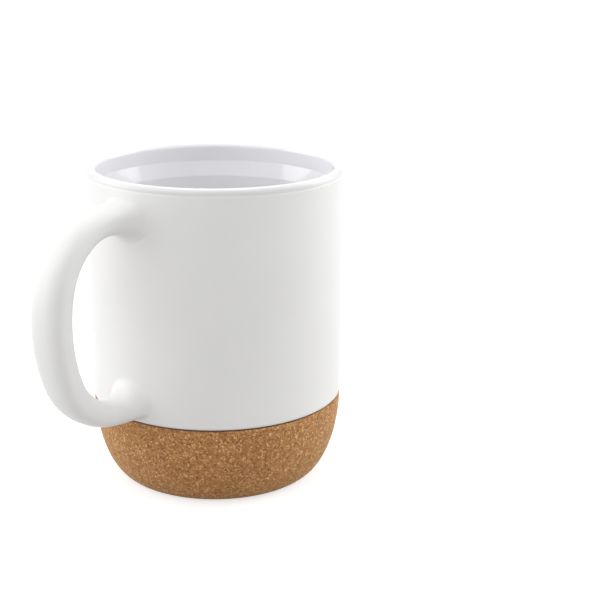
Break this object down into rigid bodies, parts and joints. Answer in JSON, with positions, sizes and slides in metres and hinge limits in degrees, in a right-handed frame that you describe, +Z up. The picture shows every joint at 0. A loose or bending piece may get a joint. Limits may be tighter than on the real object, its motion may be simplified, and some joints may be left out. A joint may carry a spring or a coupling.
{
  "type": "cork-base mug",
  "caption": "White stoneware mug with a loop handle, a glossy glazed inside and a rounded cork base for hot or cold drinks.",
  "frame": {"origin": "centre of the flat cork base the mug stands on", "axes": "+Z up along the mug's axis, +X out through the handle, +Y sideways across the handle"},
  "size_m": [0.1202, 0.085, 0.1066],
  "materials": {
    "white_stoneware": "satin matte glaze",
    "gloss_glaze": "gloss",
    "cork": "fine agglomerated cork, sealed matte",
    "adhesive": "cured matte adhesive"
  },
  "bodies": {
    "root": {"stoneware_body": "white_stoneware", "handle": "white_stoneware", "liner_glaze": "gloss_glaze", "cork_base": "cork", "glue_layer": "adhesive"}
  },
  "joints": []
}
